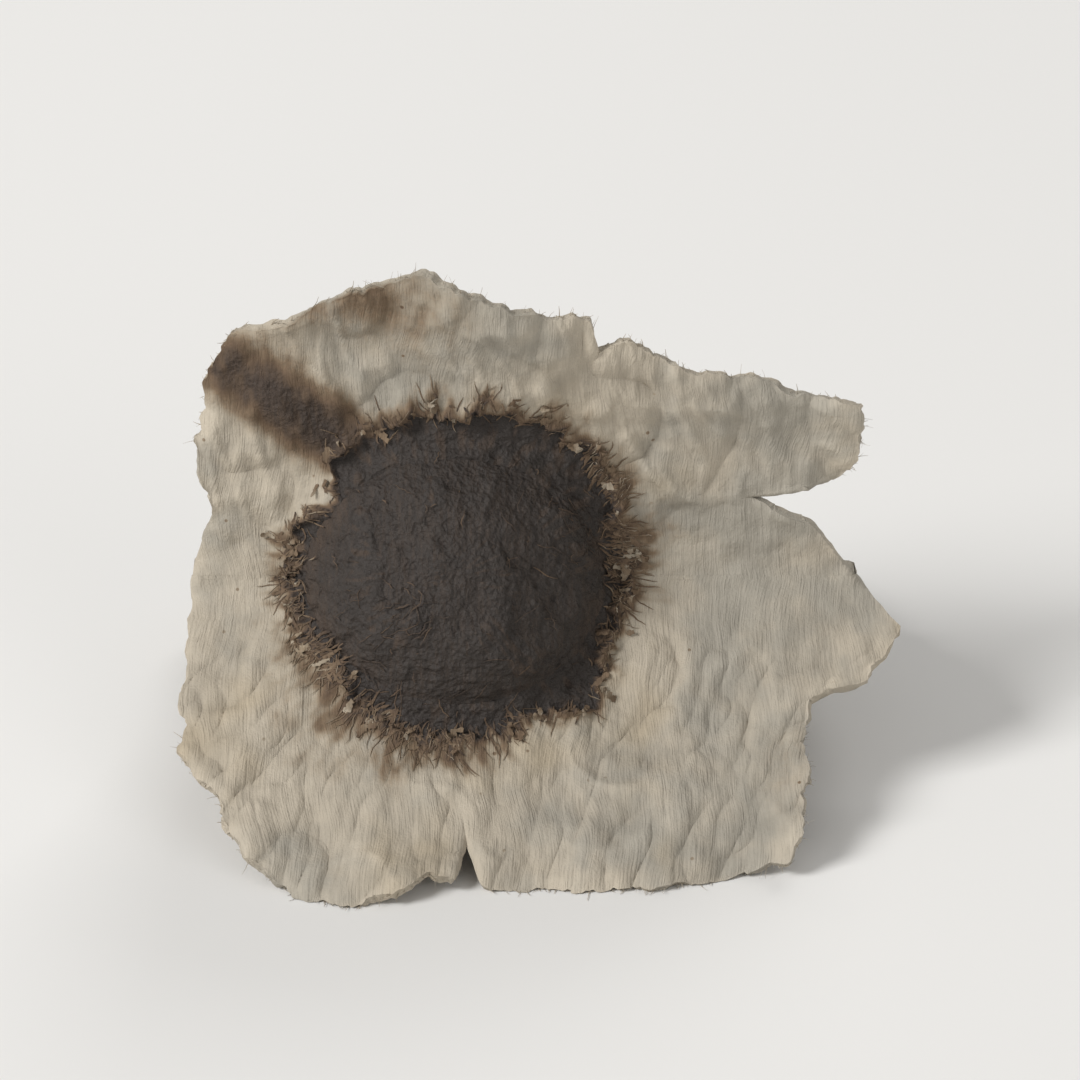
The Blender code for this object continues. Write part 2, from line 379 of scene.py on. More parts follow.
@dataclass(frozen=True)
class Face:
    """One of the hull's three faces, between two wings, seen straight on.

    border holds (degrees, radius, fringe), the last two in millimetres: how far the bare dark
    face reaches from its middle in that direction, and how far its brown fringe runs on from
    there. Degrees are counted from the spine's +X end towards the wing at the smaller angle.
    """

    angle: float
    border: tuple[Triple, ...]
    stains_and_shadow: tuple[Patch, ...]
    tones_and_shade: tuple[Patch, ...]
    rough: float
    seed: int

    spike_share: float = 0.75
    spike_length: float = 16 * MM
    fibre_length: float = 14 * MM
    least_fringe: float = 0.25 * MM
    fringe_stain: float = 0.90
    fringe_fall: float = 1.3
    fringe_spikes: float = 0.34
    fringe_mottle: float = 0.16
    cut_off: float = 0.06
    bare_stain: float = 0.84
    bare_mottle: float = 0.1
    patch_mottle: float = 0.22
    darkest_patch: float = 0.84

    def in_view(self, points: np.ndarray) -> tuple[np.ndarray, np.ndarray]:
        """Places points as this face is seen.

        Args:
            points: Places on or near the face.

        Returns:
            Their distances from its middle along the spine and across it.
        """
        offset = points - np.array(SEED.centre)
        across = offset[..., 1] * math.sin(self.angle) - offset[..., 2] * math.cos(self.angle)
        return offset[..., 0], across

    def rays(self, points: np.ndarray, length: float, seed: int) -> np.ndarray:
        """Moves points to a space where noise turns into streaks that run out from the middle.

        Args:
            points: Places on or near the face.
            length: How long a way outwards counts as one unit of that space.
            seed: Which part of that space is used.

        Returns:
            The points there.
        """
        along, across = self.in_view(points)
        away = np.hypot(along, across)
        return np.stack((along / away, across / away, away / length), axis=-1) + seed

    def read_border(self, points: np.ndarray) -> Border:
        """Measures points against the torn border of the bare face.

        Args:
            points: Places on or near the face.

        Returns:
            The measures.
        """
        along, across = self.in_view(points)
        turn = np.degrees(np.arctan2(across, along))
        degrees, radii, fringes = zip(*self.border)
        radius = np.interp(turn, degrees, in_mm(*radii), period=360)
        fringe = np.interp(turn, degrees, in_mm(*fringes), period=360)
        rays = self.rays(points, self.spike_length, self.seed)
        spikes = LONG_SPIKES.at(rays) + SHORT_SPIKES.at(rays)
        shifted = points + self.seed * MM
        lumps = BORDER_LUMPS.at(shifted) + BORDER_NICKS.at(shifted)
        radius = radius + self.rough * (lumps + self.spike_share * spikes)
        fringe = fringe * (1 + FRINGE_CHANGES.at(shifted))
        return Border(np.hypot(along, across) - radius, fringe, spikes)

    def fibre_relief(self, points: np.ndarray, seed: int) -> np.ndarray:
        """Gives the low ridges of the fibres that run out from the hull, which differ by seed."""
        return LONG_FIBRES.at(self.rays(points, self.fibre_length, seed)) + SHORT_FIBRES.at(points)

    def shade(self, group: tuple[Patch, ...], points: np.ndarray) -> np.ndarray:
        """Adds up the strengths of some patches at these points."""
        along, across = self.in_view(points)
        return sum(patch.shade(along, across) for patch in group)

    def stain(self, points: np.ndarray, border: Border) -> np.ndarray:
        """Gives how brown the tissue is, with the painted shadow that some patches add.

        Args:
            points: Places on the tissue.
            border: Their measures against the border of the bare face.

        Returns:
            Values from 0 for clean paper to 1 for the hull's dark surface.
        """
        mottle = MOTTLE.at(points)
        fringe = np.maximum(border.fringe, self.least_fringe)
        fall = np.exp(-self.fringe_fall * np.maximum(0, border.outside) / fringe)
        uneven = 1 + self.fringe_spikes * border.spikes + self.fringe_mottle * mottle
        fall = (1 + self.cut_off) * fall * uneven - self.cut_off
        bare = np.maximum(fall, self.bare_stain + self.bare_mottle * mottle)
        near = np.where(border.outside < 0, bare, self.fringe_stain * fall)
        blots = BLOTS.at(points) + self.patch_mottle * mottle
        # The patches hold brown stains and, on the front face, a painted shadow.
        marks_and_shadow = self.shade(self.stains_and_shadow, points) * (1 + blots + STAIN_AND_SHADOW_RUNS.at(points))
        marks_and_shadow = self.darkest_patch * np.tanh(marks_and_shadow / self.darkest_patch)
        return np.clip(np.maximum(near, marks_and_shadow), 0, 1)


FRONT_FACE = Face(
    angle=math.radians(150),
    border=(
        (0, 5.5, 1.2), (25, 5.8, 1.3), (45, 6.15, 0.9), (70, 5.7, 0.6), (95, 5.4, 0.6), (118, 5.4, 0.6),
        (130, 5.6, 0.5), (138, 5.3, 0.5), (147, 4.7, 0.3), (156, 5.0, 0.5), (166, 5.3, 0.8),
        (182, 5.4, 0.8), (205, 5.1, 1.4), (222, 4.9, 2.1), (245, 5.1, 1.6), (270, 5.4, 0.9),
        (286, 5.5, 0.7), (302, 5.0, 0.6), (318, 6.3, 0.6), (332, 5.6, 0.6), (343, 5.4, 0.9),
    ),
    stains_and_shadow=patches(
        # Painted shadow: the first four patches lay a dark wedge of shade from the bare face's upper left out
        # along the gap under the top wing, drawn in the stain's dark browns.
        (-3.7, 4.6, 1.2, 0.9, 1.30), (-5.0, 5.5, 1.2, 0.9, 1.15), (-6.3, 6.4, 1.2, 0.9, 1.05),
        (-7.5, 7.2, 1.2, 0.9, 0.95), (-4.2, 9.7, 2.8, 1.5, 0.42), (-0.8, 8.4, 2.2, 1.9, 0.18),
        (11.5, -6.5, 1.6, 2.4, 0.14),
    ),
    tones_and_shade=patches(
        # Tones above 0 on this face are painted shade, greying the top wing's band and the right half of the
        # front wing; those below 0 are straw tints of the tissue.
        (10.0, -2.0, 4.0, 5.5, 0.75), (-1.0, 8.3, 2.4, 2.4, 0.70), (6.6, -3.4, 1.6, 1.9, -1.10),
        (5.6, 6.2, 2.6, 2.4, -0.30), (10.8, 6.0, 2.8, 3.2, 0.70), (-7.5, -4.0, 3.0, 5.0, -0.30),
    ),
    rough=0.34 * MM,
    seed=3,
)
BACK_FACE = Face(
    angle=math.radians(30),
    border=(
        (0, 5.4, 1.0), (60, 5.3, 1.4), (110, 5.2, 0.8), (160, 5.4, 1.3), (215, 5.0, 0.9), (300, 5.6, 1.6),
    ),
    stains_and_shadow=patches((4.0, 7.5, 2.5, 1.3, 0.30)),
    tones_and_shade=patches((-6.0, 5.0, 3.5, 3.5, 0.60)),
    rough=0.38 * MM,
    seed=4,
)
UNDER_FACE = Face(
    angle=math.radians(270),
    border=((0, 5.2, 0.9), (80, 5.1, 1.2), (150, 5.5, 1.0), (230, 5.2, 1.5), (310, 5.4, 0.8)),
    stains_and_shadow=patches((-4.5, -7.0, 2.2, 1.5, 0.30)),
    tones_and_shade=patches((7.5, 5.0, 3.5, 3.5, 0.60)),
    rough=0.36 * MM,
    seed=5,
)
FACES = (FRONT_FACE, BACK_FACE, UNDER_FACE)


class Piece:
    """Turns a mesh into a finished piece of the seed."""

    @staticmethod
    def deselect() -> None:
        """Leaves nothing selected and no object in edit mode."""
        if bpy.context.object and bpy.context.object.mode != "OBJECT":
            bpy.ops.object.mode_set(mode="OBJECT")
        bpy.ops.object.select_all(action="DESELECT")

    @staticmethod
    def activate(obj: bpy.types.Object) -> None:
        """Selects one object alone and makes it the active one.

        Args:
            obj: The object.
        """
        Piece.deselect()
        obj.select_set(True)
        bpy.context.view_layer.objects.active = obj

    @staticmethod
    def added(name: str) -> bpy.types.Object:
        """Names the primitive that was just added.

        Args:
            name: Its name.

        Returns:
            The primitive.
        """
        obj = bpy.context.object
        obj.name = name
        obj.data.name = name
        return obj

    @staticmethod
    def places(obj: bpy.types.Object) -> np.ndarray:
        """Reads the mesh's points.

        Args:
            obj: The object.

        Returns:
            An array of them.
        """
        flat = np.empty(len(obj.data.vertices) * 3)
        obj.data.vertices.foreach_get("co", flat)
        return flat.reshape(-1, 3)

    @staticmethod
    def move_to(obj: bpy.types.Object, points: np.ndarray) -> None:
        """Puts the mesh's points in these places."""
        obj.data.vertices.foreach_set("co", points.astype(np.float32).ravel())
        obj.data.update()

    @staticmethod
    def write_values(obj: bpy.types.Object, name: str, values: np.ndarray) -> None:
        """Stores values for the mesh's points as a named attribute.

        Args:
            obj: The object.
            name: The attribute's name.
            values: A number, or a vector, for each point.
        """
        kind, field = ("FLOAT", "value") if values.ndim == 1 else ("FLOAT_VECTOR", "vector")
        attribute = obj.data.attributes.new(name, kind, "POINT")
        attribute.data.foreach_set(field, values.astype(np.float32).ravel())

    @staticmethod
    def finish(obj: bpy.types.Object, finish: "Finish", slot: Slot, sharp: float) -> None:
        """Shades, dresses and places a piece on the seed.

        Args:
            obj: The piece, with its place in its mesh.
            finish: Its material.
            slot: The record's material slot; not used.
            sharp: The angle past which an edge stays sharp, in degrees.
        """
        Piece.activate(obj)
        bpy.ops.object.shade_smooth_by_angle(angle=math.radians(sharp))
        obj.data.materials.clear()
        obj.data.materials.append(finish.material())
        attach(obj, BODY)
        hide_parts(NODE)
        LOG.info("%s: %d faces", obj.name, len(obj.data.polygons))


@dataclass
class Sheet:
    """One side of a wing as a grid of points, from the outer edge in to the middle of a face."""

    face: Face
    cover: np.ndarray
    normals: np.ndarray
    border: Border
    stain: np.ndarray
    tone: np.ndarray


@dataclass
class Plan:
    """A wing laid out flat: each grid point's place along the spine, its radius, its distance
    from the torn edge, the radius where wing and hull meet, its fine waves and its creases."""

    along: np.ndarray
    radius: np.ndarray
    edge: np.ndarray
    joint: np.ndarray
    wave: np.ndarray
    crease: np.ndarray


@dataclass(frozen=True)
class Paper:
    """The papery layer where it ends, torn, at the border of a bare face.

    thickness and lift, the height of its curled-up bits, are in millimetres.
    """

    thickness: float = 0.13
    lift: float = 0.30
    lift_place: float = 0.22 * MM
    lift_width: float = 0.28 * MM
    lift_share: float = 0.15
    edge_width: float = 0.13 * MM
    bare_width: float = 0.20 * MM
    spike_height: float = 0.05 * MM
    rough_width: float = 1.2 * MM
    dip: float = 0.30 * MM
    dip_margin: float = 0.12 * MM

    def relief(self, points: np.ndarray, border: Border) -> np.ndarray:
        """Gives the height of the layer outside the border and of the cork inside it.

        Args:
            points: Places on the smooth surface.
            border: Their measures against the border.

        Returns:
            The heights.
        """
        outside = border.outside
        paper = smooth_step(outside / self.edge_width)
        bare = smooth_step(-outside / self.bare_width)
        lifted = np.maximum(0, LIFTED_PAPER.at(points) + self.lift_share)
        lifted = lifted * np.exp(-(((outside - self.lift_place) / self.lift_width) ** 2))
        layer = MM * paper * (self.thickness * (1 + PAPER_LUMPS.at(points)) + self.lift * lifted)
        rough = BORDER_GRIT.at(points) + self.spike_height * border.spikes
        rough = rough * np.exp(-np.maximum(0, outside) / self.rough_width)
        return layer + cork_relief(points) * bare + rough * (1 - bare)

    def dip_under_hull(self, points: np.ndarray, border: Border) -> np.ndarray:
        """Gives how far a wing's own piece dips under the bare hull, so that the hull shows."""
        low = smooth_step((self.dip_margin - SEED.height_above(points)) / self.dip_margin)
        return self.dip * smooth_step(-border.outside / self.dip) * low


PAPER = Paper()
ALONG_SPINE = np.array((1.0, 0.0, 0.0))


@dataclass(frozen=True)
class Wing:
    """One papery wing. Radii run out from the spine, and places along it from the hull's centre.

    left_end and right_end hold (radius, place) and outer_edge holds (place, radius).
    curl bends the whole edge sideways. sway is its long wave and ripple its short one,
    each with its depth and the place where the wave begins. The groups of fields below
    are for the waves, the thickness, the grid of points, and the root on the hull, the floor
    and the map of the fibres, in which the wings and their sides lie apart.
    """

    name: str
    angle: float
    faces: tuple[Face, Face]
    left_end: Outline
    right_end: Outline
    outer_edge: Outline
    curl: float
    sway: Pair
    ripple: Pair
    seed: int

    reach: float = 12.0 * MM
    sway_length: float = 21.5 * MM
    ripple_length: float = 6.8 * MM
    lean: float = 0.25
    calm: float = 0.25
    calm_width: float = 0.9 * MM
    free_width: float = 3.2 * MM
    curled_width: float = 0.7 * MM
    fine_creases: float = 0.5

    thickness: float = 0.22 * MM
    rim_share: float = 0.3
    rim_width: float = 0.45 * MM
    root_thickness: float = 1.9 * MM
    root_flare: float = 0.8 * MM
    spine_flare: float = 0.9 * MM
    spine_share: float = 0.45

    columns: int = 320
    rows: int = 148
    crowding: float = 1.5
    crowded_width: float = 0.45 * MM
    torn_from: float = 3.0 * MM
    edge_fade: int = 5
    end_fade: int = 7

    spread: float = math.radians(60.6)
    tip_spread: float = math.radians(6)
    tip_radius: float = 1.6 * MM
    start_range: Pair = (0.05, math.sin(math.radians(50)))
    lumps_from: float = 3 * MM
    smoothing: float = 0.97
    smoothing_width: float = 0.75 * MM
    smoothing_rounds: int = 150
    fibres_from: float = 1.5 * MM
    floor_margin: float = 0.12 * MM
    map_step: float = 3.7
    sides_apart: float = 11.0

    @property
    def sideways(self) -> np.ndarray:
        """The direction across the wing."""
        return np.array((0.0, -math.sin(self.angle), math.cos(self.angle)))

    @property
    def span(self) -> Pair:
        """The places of the wing's two tips."""
        return min(place for _, place in self.left_end), max(place for _, place in self.right_end)

    def shares(self) -> np.ndarray:
        """Spreads the columns along the wing, closer together at the hull's steep ends.

        Returns:
            Each column's share of the wing's length.
        """
        first, last = self.span
        places = np.linspace(first, last, 4 * self.columns)
        steep = np.exp(-(((np.abs(places) - SEED.half_length) / self.crowded_width) ** 2))
        running = np.cumsum(1 + self.crowding * steep)
        running = (running - running[0]) / (running[-1] - running[0])
        return np.interp(np.linspace(0, 1, self.columns), running, np.linspace(0, 1, 4 * self.columns))

    def lay_out(self) -> Plan:
        """Lays the wing out flat, its torn outline smoother and smoother inwards.

        Returns:
            The flat wing.
        """
        first, last = self.span
        share = self.shares()[:, None]
        out = np.linspace(1, 0, self.rows)[None, :]
        plain = first + (last - first) * share
        reach = read_outline(self.outer_edge, plain) + fray(self.seed, plain)
        rounded = read_rounded(self.outer_edge, plain)
        radius = out * rounded + out**self.edge_fade * (reach - rounded)
        frayed = np.minimum(1.0, radius / self.torn_from)
        left = read_outline(self.left_end, radius) + frayed * fray(self.seed + 1, radius)
        right = read_outline(self.right_end, radius) + frayed * fray(self.seed + 2, radius)
        round_left = read_rounded(self.left_end, radius)
        round_right = read_rounded(self.right_end, radius)
        along = round_left + (round_right - round_left) * share
        along = along + (left - round_left) * (1 - share) ** self.end_fade
        along = along + (right - round_right) * share**self.end_fade
        edge = np.minimum(reach - radius, np.minimum(along - left, right - along))
        joint = SEED.skin_reach(along, np.full_like(along, self.angle))
        return Plan(along, radius, edge, joint, *self.crinkle(along, radius, joint, edge))

    def side_shift(self, along: np.ndarray, radius: np.ndarray) -> np.ndarray:
        """Gives how far the wing's middle surface leaves its plane.

        Args:
            along: Places along the spine.
            radius: Radii of the same points.

        Returns:
            Distances across the wing.
        """
        share = radius / self.reach
        sway = self.sway[0] * np.sin(math.tau * (along - self.sway[1]) / self.sway_length)
        ripple = self.ripple[0] * np.sin(math.tau * (along - self.ripple[1]) / self.ripple_length)
        return (self.curl + sway) * share**2 + ripple * share**3

    def crinkle(
        self, along: np.ndarray, radius: np.ndarray, joint: np.ndarray, edge: np.ndarray
    ) -> tuple[np.ndarray, np.ndarray]:
        """Gives the fine shape of the dry sheet.

        Args:
            along: Places along the spine.
            radius: Radii of the same points.
            joint: The radius where wing and hull meet there.
            edge: Their distance from the torn edge.

        Returns:
            The waves: folds, creases, pleats that run outwards and a curled rim; and the creases alone.
        """
        flat = np.stack((along, radius, np.full_like(along, self.seed * MM)), axis=-1)
        leaning = flat + (self.lean * radius)[..., None] * ALONG_SPINE
        free = self.calm + (1 - self.calm) * smooth_step((radius - joint) / self.free_width)
        free = free * smooth_step((radius - joint) / self.calm_width)
        raised = creases(RAISED_CREASES, leaning) + self.fine_creases * creases(FINE_CREASES, leaning)
        sunk = creases(SUNK_CREASES, flat)
        rim = RIM_CURLS.at(flat) * np.exp(-edge / self.curled_width)
        waves = FOLDS.at(flat) + CREASE_DEPTH * raised - CREASE_DEPTH * sunk + PLEATS.at(leaning) + rim
        return free * waves, free * (raised - sunk)

    def half_thickness(self, along: np.ndarray, radius: np.ndarray, edge: np.ndarray) -> np.ndarray:
        """Gives half the sheet's thickness, which flares at its root and thins at its torn edges.

        Args:
            along: Places along the spine.
            radius: Radii of the same points.
            edge: Their distance from the torn edge.

        Returns:
            The half thicknesses.
        """
        hull_share = np.hypot(along / SEED.half_length, radius / SEED.radius)
        off_hull = np.maximum(0.0, (hull_share - 1) * SEED.radius)
        spine = self.spine_share * np.exp(-radius / self.spine_flare)
        flare = np.maximum(np.exp(-off_hull / self.root_flare), spine)
        thin = self.rim_share + (1 - self.rim_share) * smooth_step(edge / self.rim_width)
        return 0.5 * (self.thickness + (self.root_thickness - self.thickness) * flare) * thin

    def side_points(self, plan: Plan, side: int) -> np.ndarray:
        """Places one side of the wing, its root spread over the hull as far as the middle of the face.

        Args:
            plan: The wing laid out flat.
            side: 1 or -1, the side across the wing.

        Returns:
            The grid of points.
        """
        along, joint = plan.along, plan.joint
        blade_radius = np.maximum(plan.radius, joint)
        half = self.half_thickness(along, blade_radius, plan.edge)
        shift = self.side_shift(along, blade_radius) + plan.wave
        blade = SEED.around(along, blade_radius, np.full_like(along, self.angle))
        blade = blade + self.sideways * (shift + side * half)[..., None]

        spread = self.spread + self.tip_spread * smooth_step((self.tip_radius - joint) / MM)
        start = np.arcsin(np.clip((half + side * shift) / joint, *self.start_range))
        inward = np.clip(1 - plan.radius / joint, 0, 1)
        turn = self.angle + side * (start + (spread - start) * inward)
        reach = SEED.skin_reach(along, turn)
        lumps = HULL_LUMPS.at(SEED.around(along, reach, turn))
        wrapped = SEED.around(along, reach + lumps * smooth_step(reach / self.lumps_from), turn)
        points = np.where((plan.radius >= joint)[..., None], blade, wrapped)

        self.smooth_joint(points, plan)
        for end in (0, -1):
            tip = SEED.around(along[end], np.zeros(self.rows), np.zeros(self.rows))
            points[end] += inward[end][:, None] * (tip - points[end])
        return points

    def smooth_joint(self, points: np.ndarray, plan: Plan) -> None:
        """Rounds off the corner where wing and hull meet.

        Args:
            points: The grid of points of one side, which is changed.
            plan: The wing laid out flat.
        """
        away = (plan.radius - plan.joint) / self.smoothing_width
        weight = self.smoothing * np.exp(-(away**2))[1:-1, 1:-1, None]
        inner = points[1:-1, 1:-1]
        for _ in range(self.smoothing_rounds):
            middle = (points[:-2, 1:-1] + points[2:, 1:-1] + points[1:-1, :-2] + points[1:-1, 2:]) / 4
            inner += weight * (middle - inner)

    def side_sheet(self, plan: Plan, side: int) -> tuple[Sheet, np.ndarray]:
        """Builds one side of the wing with its torn paper layer.

        Args:
            plan: The wing laid out flat.
            side: 1 or -1, the side across the wing.

        Returns:
            The sheet that lies over wing and hull, and the points of the piece, which dip under
            the bare hull.
        """
        points = self.side_points(plan, side)
        face = self.faces[0] if side > 0 else self.faces[1]
        normals = unit(np.cross(np.gradient(points, axis=0), np.gradient(points, axis=1)))
        if (normals[:, 0] @ self.sideways).sum() * side < 0:
            normals = -normals

        border = face.read_border(points)
        fibres = face.fibre_relief(points, self.seed) * smooth_step(border.outside / self.fibres_from)
        cover = points + normals * (PAPER.relief(points, border) + fibres)[..., None]
        piece = cover - normals * PAPER.dip_under_hull(points, border)[..., None]
        # The tone is a random grey or straw tint, and on the front face painted shade as well.
        stain, tone = face.stain(points, border), face.shade(face.tones_and_shade, points)
        return Sheet(face, self.rest_on_floor(cover), normals, border, stain, tone), self.rest_on_floor(piece)

    def rest_on_floor(self, points: np.ndarray) -> np.ndarray:
        """Presses what would reach under the floor flat against it, without letting layers meet.

        Args:
            points: A grid of points.

        Returns:
            The pressed grid.
        """
        soft = self.floor_margin
        height = points[..., 2]
        pressed = soft * np.exp(np.minimum(0, height - soft) / soft)
        settled = points.copy()
        settled[..., 2] = np.where(height < soft, pressed, height)
        return settled

    def build(self, finish: "Finish") -> tuple[Sheet, Sheet]:
        """Makes the wing's piece, with what its material reads at each point.

        Args:
            finish: The wing's material.

        Returns:
            Its two sides.
        """
        plan = self.lay_out()
        (first, first_points), (second, second_points) = self.side_sheet(plan, 1), self.side_sheet(plan, -1)
        own = np.full_like(plan.along, self.seed * self.map_step * MM)
        flat = np.stack((plan.along, plan.radius, own), axis=-1)
        wander = WIDE_WANDER.at(flat) + FINE_WANDER.at(flat)
        flat = flat / MM + wander[..., None] * ALONG_SPINE
        rim = np.exp(-plan.edge / self.rim_width)
        values = {
            "stain": (first.stain, second.stain),
            "fibre_map": (flat, flat + (0.0, 0.0, self.sides_apart)),
            "rim": (rim, rim),
            # The crease values paint highlight on raised creases and shade in sunk ones.
            "crease": (plan.crease, -plan.crease),
            "tone": (first.tone, second.tone),
        }
        obj, column, row = self.close(self.both(first_points, second_points))
        for name, sides in values.items():
            Piece.write_values(obj, name, self.both(*sides)[column, row])
        Piece.finish(obj, finish, Slot.WING, sharp=60)
        return first, second

    def close(self, loop: np.ndarray) -> tuple[bpy.types.Object, np.ndarray, np.ndarray]:
        """Turns the grid of both sides into a closed mesh.

        Args:
            loop: Points that run over one side, round the edge and back over the other.

        Returns:
            The object, and the column and row of each of its points.
        """
        Piece.deselect()
        columns, rows = loop.shape[:2]
        bpy.ops.mesh.primitive_grid_add(x_subdivisions=columns - 1, y_subdivisions=rows - 1, size=2)
        obj = Piece.added(self.name)
        flat_places = (Piece.places(obj)[:, :2] + 1) / 2
        column = np.rint(flat_places[:, 0] * (columns - 1)).astype(int)
        row = np.rint(flat_places[:, 1] * (rows - 1)).astype(int)
        Piece.move_to(obj, loop[column, row])
        self.sew(obj, row == 0, row == rows - 1)
        upper, lower = row < rows // 2, row >= rows // 2
        for end in (0, columns - 1):
            self.sew(obj, (column == end) & upper, (column == end) & lower)
        Piece.activate(obj)
        bpy.ops.object.mode_set(mode="EDIT")
        bpy.ops.mesh.select_all(action="SELECT")
        bpy.ops.mesh.quads_convert_to_tris(quad_method="SHORTEST_DIAGONAL", ngon_method="BEAUTY")
        bpy.ops.mesh.normals_make_consistent(inside=False)
        bpy.ops.object.mode_set(mode="OBJECT")
        return obj, column, row

    @staticmethod
    def both(first: np.ndarray, second: np.ndarray) -> np.ndarray:
        """Joins the grids of the two sides into one that runs from root to edge and back to the root."""
        return np.concatenate((first[:, ::-1], second), axis=1)

    @staticmethod
    def sew(obj: bpy.types.Object, one: np.ndarray, other: np.ndarray) -> None:
        """Bridges two open rows of points with faces.

        Args:
            obj: The piece.
            one: Which points are in the first row.
            other: Which points are in the second row.
        """
        Piece.activate(obj)
        mesh = obj.data
        ends = np.empty(len(mesh.edges) * 2, int)
        mesh.edges.foreach_get("vertices", ends)
        start, stop = ends.reshape(-1, 2).T
        chosen = (one[start] & one[stop]) | (other[start] & other[stop])
        bpy.context.tool_settings.mesh_select_mode = (False, True, False)
        mesh.polygons.foreach_set("select", np.zeros(len(mesh.polygons), bool))
        mesh.vertices.foreach_set("select", one | other)
        mesh.edges.foreach_set("select", chosen)
        bpy.ops.object.mode_set(mode="EDIT")
        bpy.ops.mesh.bridge_edge_loops()
        bpy.ops.object.mode_set(mode="OBJECT")


FRONT_WING = Wing(
    name="front_wing",
    angle=math.radians(210),
    faces=(UNDER_FACE, FRONT_FACE),
    left_end=((0.0, -0.0089), (0.003, -0.0091), (0.0068, -0.0092), (0.0088, -0.0079), (0.012, -0.0066)),
    right_end=(
        (0.0, 0.0137), (0.0020, 0.0151), (0.0040, 0.0141), (0.0048, 0.0121), (0.0096, 0.0118),
        (0.012, 0.0106),
    ),
    outer_edge=(
        (-0.0092, 0.0110), (-0.0072, 0.0124), (-0.0040, 0.0129), (-0.0010, 0.0119), (0.0002, 0.0119),
        (0.0009, 0.0104), (0.0016, 0.0118), (0.0055, 0.0119), (0.0095, 0.0121), (0.0115, 0.0115),
        (0.0151, 0.0108),
    ),
    curl=0.0,
    sway=(0.00035, 0.0022),
    ripple=(0.00022, 0.001),
    seed=11,
)
TOP_WING = Wing(
    name="top_wing",
    angle=math.radians(90),
    faces=(FRONT_FACE, BACK_FACE),
    left_end=((0.0, -0.0089), (0.0025, -0.0083), (0.005, -0.0089), (0.0085, -0.0080), (0.012, -0.0057)),
    right_end=(
        (0.0, 0.0137), (0.0022, 0.0122), (0.0033, 0.0103), (0.0038, 0.0129), (0.0046, 0.0137),
        (0.0092, 0.0139),
    ),
    outer_edge=(
        (-0.0090, 0.0096), (-0.0076, 0.0104), (-0.0055, 0.0119), (-0.0034, 0.0124), (-0.0010, 0.0117),
        (0.0026, 0.0106), (0.0036, 0.0104), (0.0042, 0.0093), (0.0050, 0.0098), (0.0068, 0.0088),
        (0.0102, 0.0077), (0.0139, 0.0069),
    ),
    curl=0.0010,
    sway=(0.0007, -0.004),
    ripple=(0.00030, 0.0),
    seed=23,
)
BACK_WING = Wing(
    name="back_wing",
    angle=math.radians(-30),
    faces=(BACK_FACE, UNDER_FACE),
    left_end=((0.0, -0.0089), (0.0035, -0.0080), (0.0075, -0.0088), (0.010, -0.0076), (0.012, -0.0060)),
    right_end=((0.0, 0.0137), (0.003, 0.0140), (0.0065, 0.0126), (0.008, 0.0130), (0.012, 0.0110)),
    outer_edge=(
        (-0.0090, 0.0104), (-0.0060, 0.0121), (-0.0036, 0.0124), (-0.0029, 0.0108), (-0.0021, 0.0121),
        (0.0015, 0.0116), (0.0065, 0.0124), (0.0090, 0.0121), (0.0140, 0.0108),
    ),
    curl=0.0002,
    sway=(0.0006, 0.006),
    ripple=(0.00025, 0.002),
    seed=37,
)
WINGS = (FRONT_WING, TOP_WING, BACK_WING)


@dataclass(frozen=True)
class Hull:
    """The dark, grainy case of the seed, as it shows between the wings."""

    name: str = "hull"
    cuts: int = 98
    edge_stain: float = 0.78
    more_inside: float = 0.14
    inside_width: float = 1.2 * MM
    spike_length: float = 0.25 * MM

    def build(self, finish: "Finish") -> None:
        """Makes the hull from a finely divided cube that is rounded, then roughened.

        Args:
            finish: The hull's material.
        """
        Piece.deselect()
        bpy.ops.mesh.primitive_cube_add(size=2)
        obj = Piece.added(self.name)
        bpy.ops.object.mode_set(mode="EDIT")
        bpy.ops.mesh.select_all(action="SELECT")
        bpy.ops.mesh.subdivide(number_cuts=self.cuts)
        bpy.ops.object.mode_set(mode="OBJECT")
        ball = unit(np.tan(Piece.places(obj) * math.pi / 4))
        along = ball[:, 0] * SEED.half_length
        angle = np.arctan2(ball[:, 2], ball[:, 1])
        plain = SEED.around(along, SEED.hull_reach(along, angle), angle)
        outward = unit(plain - np.array(SEED.centre))
        height = HULL_LUMPS.at(plain) + cork_relief(plain)
        Piece.move_to(obj, plain + outward * height[:, None])
        Piece.write_values(obj, "stain", self.stain(plain, angle))
        Piece.write_values(obj, "fibre_map", plain / MM)
        Piece.finish(obj, finish, Slot.HULL, sharp=80)

    def stain(self, points: np.ndarray, angle: np.ndarray) -> np.ndarray:
        """Gives the hull's darkness, a little browner near its borders with the wings.

        Args:
            points: Places on the hull.
            angle: Their directions round the spine.

        Returns:
            Values from 0 for clean paper to 1 for the darkest cork.
        """
        stain = np.ones(len(points))
        for face in FACES:
            border = face.read_border(points)
            inside = -(border.outside + self.spike_length * border.spikes) / self.inside_width
            browner = self.edge_stain + self.more_inside * smooth_step(inside)
            apart = np.abs(np.angle(np.exp(1j * (angle - face.angle))))
            stain = np.where(apart <= math.radians(60), browner, stain)
        return stain


# Numbers of sockets: outputs of the Attribute and Texture Coordinate nodes, and the Mix node's
# two colours and its mixed one.
AS_VECTOR, AS_NUMBER = 1, 2
ON_OBJECT = 3
FIRST_COLOUR, SECOND_COLOUR, MIXED = 6, 7, 2


